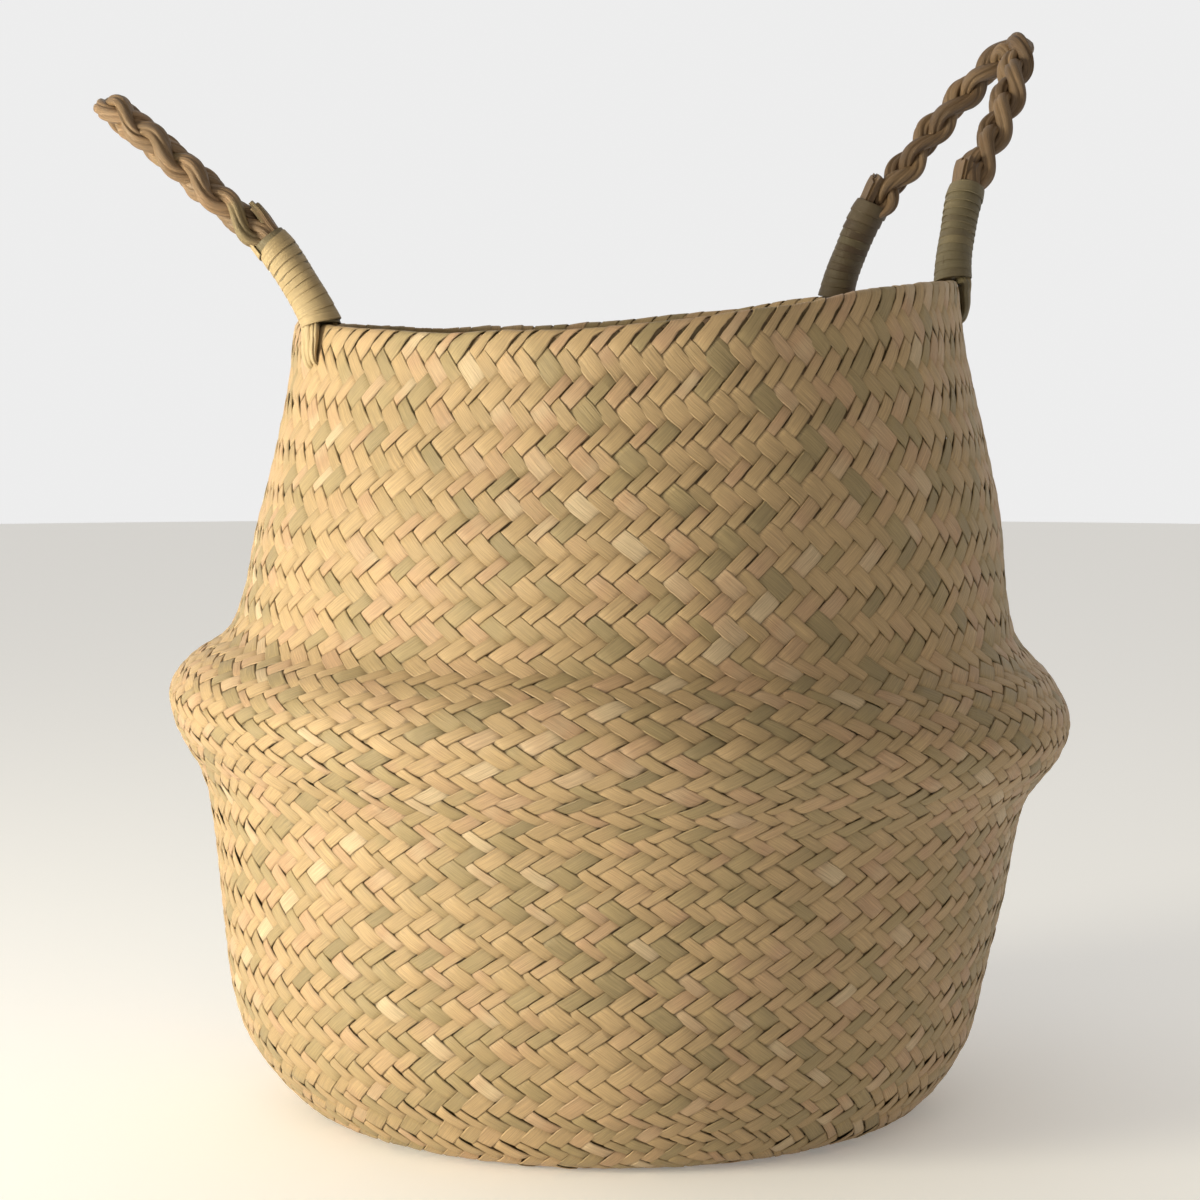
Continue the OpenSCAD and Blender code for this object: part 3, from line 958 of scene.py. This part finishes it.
# Tone of each handle's rope; the right rope is set darker partly as painted shade for the shade
# that side lies in, partly as its own darker grass
ROPE_TONE_AND_SHADE = {"left": 0.44, "right": 0.16}
# Creases of a folded bundle: where round it, how deep as a share of its radius, and how wide
CREASES = [(0.4, 0.26, 0.20), (1.6, 0.12, 0.13), (2.7, 0.22, 0.18), (4.1, 0.28, 0.22),
           (5.3, 0.14, 0.14)]


def rod_rings(centre, reference, half_side, half_up, twist):
    """Rings round a line of points. The section is an ellipse, creased between folded strips.

    Also gives the place across the strips, as grain's first value, and the share of the ellipse."""
    along = unit(np.gradient(centre, axis=0))
    side = unit(np.cross(along, reference))
    up = np.cross(side, along)
    turn = np.linspace(0, 2 * math.pi, STRAND_SIDES, endpoint=False)[None, :]
    shape = np.ones((len(centre), STRAND_SIDES))
    for at, depth, wide in CREASES:
        gap = (turn - at - twist[:, None] + math.pi) % (2 * math.pi) - math.pi
        shape -= depth * np.exp(-(gap / wide)**2)
    shape += 0.09 * np.sin(2 * (turn - twist[:, None]) + 1)
    x = (half_side[:, None] * np.cos(turn) * shape)[..., None] * side[:, None, :]
    y = (half_up[:, None] * np.sin(turn) * shape)[..., None] * up[:, None, :]
    grain = np.empty((len(centre), STRAND_SIDES, 3))
    grain[..., 0] = np.sin(turn - twist[:, None]) * 0.9
    return centre[:, None, :] + x + y, grain, shape


def rod_fields(grain, shape, v, seed, hue):
    """Shader values of a rod, as strip_fields gives a strip's; its creases are its low places,
    where the material paints shade.
    """
    grain[..., 1] = v[:, None]
    grain[..., 2] = seed
    tint_and_shade = np.zeros_like(grain)
    tint_and_shade[..., 0] = hue
    # Creases get low heights, so painted shade darkens them
    tint_and_shade[..., 1] = (shape - 0.8) * 4
    return grain, tint_and_shade


def braid_strand(side, start):
    """One of the three strands of a handle's braid, from one binding over the top to the other."""
    q = np.linspace(-1, 1, STRAND_STEPS)
    foot = (1 - (FOOT_H + 3) / side.arch_h)**(1 / ARCH_POWER)
    c = foot * np.abs(q)**0.7
    w = np.sign(q) * c * chord_half(side)
    h = side.arch_h * (1 - c**ARCH_POWER)
    path = np.stack([w, h], -1)
    s = run_lengths(path)
    along = unit(np.gradient(path, axis=0))
    free = smooth((h - FOOT_H - WRAP_L + 9) / 12)
    turn = 2 * math.pi * (s - s[-1] / 2) / BRAID_PITCH + start
    across = BRAID_A * np.sin(turn) * (0.5 + 0.5 * free)
    through = BRAID_B * np.sin(2 * turn) * (0.5 + 0.5 * free)
    wobble = 0.35 * np.sin(s / 7 + 5 * start) + 0.3 * np.sin(s / 17 + 3 * start + side.sign)
    centre = on_handle(side, w + (across + wobble) * along[:, 1], h - across * along[:, 0],
                       BRAID_OFF * (0.4 + 0.6 * free) + through)
    out = on_handle(side, w, h, 1.0) - on_handle(side, w, h, 0.0)
    swell = 1 + 0.10 * np.sin(s / 9 + 2 * start) + 0.06 * np.sin(s / 4.3 + start)
    swell = swell * (0.75 + 0.25 * free)
    twist = s / 12 + start + 0.5 * np.sin(s / 15 + start)
    rings, grain, shape = rod_rings(centre, unit(out), STRAND_HALF[0] * swell,
                                    STRAND_HALF[1] * swell, twist)
    seed = rng.uniform()
    v = run_lengths(centre) + rng.uniform(0, 500)
    hue = ROPE_TONE_AND_SHADE[side.name] + 0.2 * np.sin(s / 23 + 4 * start)
    return rings, *rod_fields(grain, shape, v, seed, hue[:, None])


WRAP_FOOT = -1.2
WRAP_HALF = (6.7, 7.4)
# Pitch of the winding at the foot, half way up and at the top
WRAP_PITCHES = {"left": (4.6, 3.0, 7.0), "right": (3.4, 2.9, 4.2)}
# Tone of each binding and its loop bundles; the right handle's are set darker partly as painted
# shade for the shade that side lies in, partly as their own darker grass
BINDING_TONE_AND_SHADE = {("left", -1): 0.70, ("left", 1): 0.62, ("right", -1): 0.16, ("right", 1): 0.05}
WRAP_STEPS = 30
LAP = 1.3
CORE_INSET = 0.4
# How much of the handle's lean the lowest turns make up for, and up to which height
LEVEL_SHARE = 0.85
LEVEL_H = 13


def level_turns(side, h):
    """How far up a turn of the binding rises on its outer side: near the rim the turns lie level,
    and higher up square to the leg."""
    rise = math.tan(math.radians(side.lean)) * LEVEL_SHARE
    return rise * (1 - smooth((h - WRAP_FOOT) / LEVEL_H)) * WRAP_HALF[1]


def wrap_binding(side, leg):
    """A flat strip wound up round the leg and its core; each turn covers the last one's edge."""
    strands = Strands()
    top = FOOT_H + WRAP_L
    core_h = np.linspace(WRAP_FOOT + 1.2, top - 3, 14)
    turn = np.linspace(0, 2 * math.pi, STRAND_SIDES, endpoint=False)
    spin = -side.sign
    core_half = np.array(WRAP_HALF) - CORE_INSET
    core_level = core_h[:, None] + level_turns(side, core_h)[:, None] * np.sin(turn)
    ring = leg_point(side, leg, core_level,
                     spin * core_half[0] * np.cos(turn), core_half[1] * np.sin(turn))
    grain = np.empty(ring.shape)
    grain[..., 0] = np.sin(5 * turn) * 0.8
    grain[..., 1] = core_h[:, None]
    grain[..., 2] = 0.3
    tint_and_shade = np.zeros(ring.shape)
    tint_and_shade[..., 0] = 0.2
    strands.add(ring, grain, tint_and_shade)
    heights, pitches = [WRAP_FOOT], []
    while heights[-1] < top - pitches[-1] if pitches else True:
        share = (heights[-1] - WRAP_FOOT) / (top - WRAP_FOOT)
        pitch = np.interp(share, [0, 0.5, 1], WRAP_PITCHES[side.name])
        pitches.append(pitch * (1 + 0.1 * math.sin(9 * share + leg)))
        heights.append(heights[-1] + pitches[-1] / WRAP_STEPS)
    steps = len(heights)
    pitches.append(pitches[-1])
    pitches = np.array(pitches)
    h = np.array(heights) + pitches / 2
    wide = pitches + LAP
    angle = 2 * math.pi * np.arange(steps) / WRAP_STEPS + leg + rng.uniform(0, 6)
    # The strip leans: its lower edge rides on the turn before, its upper edge lies on the core
    waist = 1 - 0.09 * np.sin(math.pi * (h - WRAP_FOOT) / (top - WRAP_FOOT))
    uneven = 0.18 * np.sin(3 * angle + 0.7 * np.arange(steps) / WRAP_STEPS)
    level = level_turns(side, h) * np.sin(angle)
    rings = np.empty((steps, len(STRIP_SECTION), 3))
    for k, (place_across, height) in enumerate(STRIP_SECTION):
        grow = height * 0.8 + 0.3 - place_across * 0.55 + uneven
        rings[:, k] = leg_point(side, leg, h + level + place_across * wide,
                                spin * (WRAP_HALF[0] + grow) * waist * np.cos(angle),
                                (WRAP_HALF[1] + grow) * waist * np.sin(angle))
    if spin > 0:
        rings = rings[:, ::-1]
    v = angle * WRAP_HALF[0]
    grain, tint_and_shade = strip_fields(STRIP_SECTION, v, rng.uniform(), BINDING_TONE_AND_SHADE[side.name, leg],
                               np.full(steps, 0.5))
    strands.add(rings, grain, tint_and_shade)
    return strands.build(f"{side.name}_{name_of(leg)}_binding", wrap_material)


def name_of(leg):
    return "front" if leg < 0 else "rear"


TAIL_OFF = -3.9
# The cut ends: place across, height above the binding, and how far out of the bundle's middle
TAIL_STRIPS = ((-1.9, 8.8, -1.2), (1.9, 9.6, -1.1), (-2.2, 9.9, -0.1), (0.2, 9.0, 0.1),
               (2.2, 9.0, 0.0), (-1.3, 7.9, 1.0), (1.3, 8.8, 0.9))


def tail_ends(side, leg):
    """The rope's turned-back ends, cut off ragged above the binding on its inner side."""
    strands = Strands()
    start = FOOT_H + WRAP_L - 12
    for across, top, layer in TAIL_STRIPS:
        reach = FOOT_H + WRAP_L + top + rng.uniform(-1, 1)
        h = np.linspace(start, reach, 16)
        free = smooth((h - FOOT_H - WRAP_L + 2) / 10)
        off = TAIL_OFF - layer - free * 1.2
        centre = leg_point(side, leg, h, across * (1 + 0.25 * free), off)
        direction = leg_point(side, leg, h, across + 1, off) - centre
        width = np.full(len(h), 4.2)
        hue = ROPE_TONE_AND_SHADE[side.name] + rng.uniform(0, 0.3)
        strands.add(*ribbon(centre, direction, width, 4.4, hue, rng.uniform(-2, 2)))
    return strands.build(f"{side.name}_{name_of(leg)}_ends", rope_material)


def through(points, steps):
    """A smooth line through the given points."""
    points = np.array(points)
    padded = np.vstack([2 * points[0] - points[1], points, 2 * points[-1] - points[-2]])
    line = []
    for i in range(1, len(points)):
        a, b, c, d = padded[i - 1:i + 3]
        for t in np.linspace(0, 1, steps, endpoint=i == len(points) - 1):
            line.append(0.5 * (2 * b + (c - a) * t + (2 * a - 5 * b + 4 * c - d) * t**2
                               + (3 * b - a - 3 * c + d) * t**3))
    return np.array(line)


# The bundles of a loop: places on the leg (height, outward), then down the outline (v, off it);
# the way aside on the wall, half widths round and through, and hue beside the binding's
LOOP_BUNDLES = [
    ([(11, 4.0), (4, 4.4)], [(10.99, 2.5), (10.82, 1.8), (10.60, 1.4), (10.42, 0.3), (10.35, -1.6)],
     -1.2, (3.9, 2.9), 0.1),
    ([(7, 1.0), (2, 2.2)], [(11.0, 2.3), (10.85, 1.8), (10.62, 1.6), (10.46, 0.5), (10.40, -1.4)],
     4.2, (2.6, 1.6), 0.0),
    ([(11, -4.2), (3, -5.0)], [(10.99, -7.4), (10.80, -7.6), (10.55, -7.0), (10.42, -5.6),
                               (10.36, -3.6)], 0.0, (3.2, 1.6), -0.1)]


def loop_bundles(side, leg):
    """Folded bundles that leave the binding, straddle the rim and go into the plait below it."""
    strands = Strands()
    for on_leg, down, aside, half, hue in LOOP_BUNDLES:
        points = [leg_point(side, leg, h, -0.5 * aside * leg, n) for h, n in on_leg]
        for v, off in down:
            r, z = off_outline(v, off)
            phi = leg_azimuth(side, leg) + math.degrees(aside * leg * side.sign / r)
            points.append(place(phi, r, z))
        centre = through(points, 8)
        a = math.radians(leg_azimuth(side, leg))
        outward = np.tile([math.cos(a), math.sin(a), 0.25], (len(centre), 1))
        t = np.linspace(0, 1, len(centre))
        taper = 1 - 0.45 * smooth((t - 0.55) / 0.45)
        rings, grain, shape = rod_rings(centre, outward, half[0] * taper, half[1] * taper,
                                        1.2 * t + aside)
        fields = rod_fields(grain, shape, run_lengths(centre), rng.uniform(),
                            BINDING_TONE_AND_SHADE[side.name, leg] + hue)
        strands.add(rings, *fields)
    return strands.build(f"{side.name}_{name_of(leg)}_loop_bundles", wrap_material, crisp=False)


for side in (LEFT, RIGHT):
    body = side.name + "_handle"
    for letter, start in zip("abc", (0, 2 * math.pi / 3, 4 * math.pi / 3)):
        strands = Strands()
        strands.add(*braid_strand(side, start))
        piece = strands.build(f"{side.name}_braid_{letter}", rope_material, crisp=False)
        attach(piece, body)
        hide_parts(f"{side.name}_strand_{letter}")
    for leg_name, leg in LEGS.items():
        low = leg_point(side, leg, -3.0, 0.0, 0.0)
        high = leg_point(side, leg, FOOT_H + 3.0, 0.0, 0.0)
        binding = wrap_binding(side, leg)
        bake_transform(binding)
        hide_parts(f"{side.name}_{leg_name}_wrap")
        ends = tail_ends(side, leg)
        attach(ends, body)
        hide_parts(f"{side.name}_{leg_name}_tail")
        bundles = loop_bundles(side, leg)
        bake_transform(bundles)
        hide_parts(f"{side.name}_{leg_name}_loop")
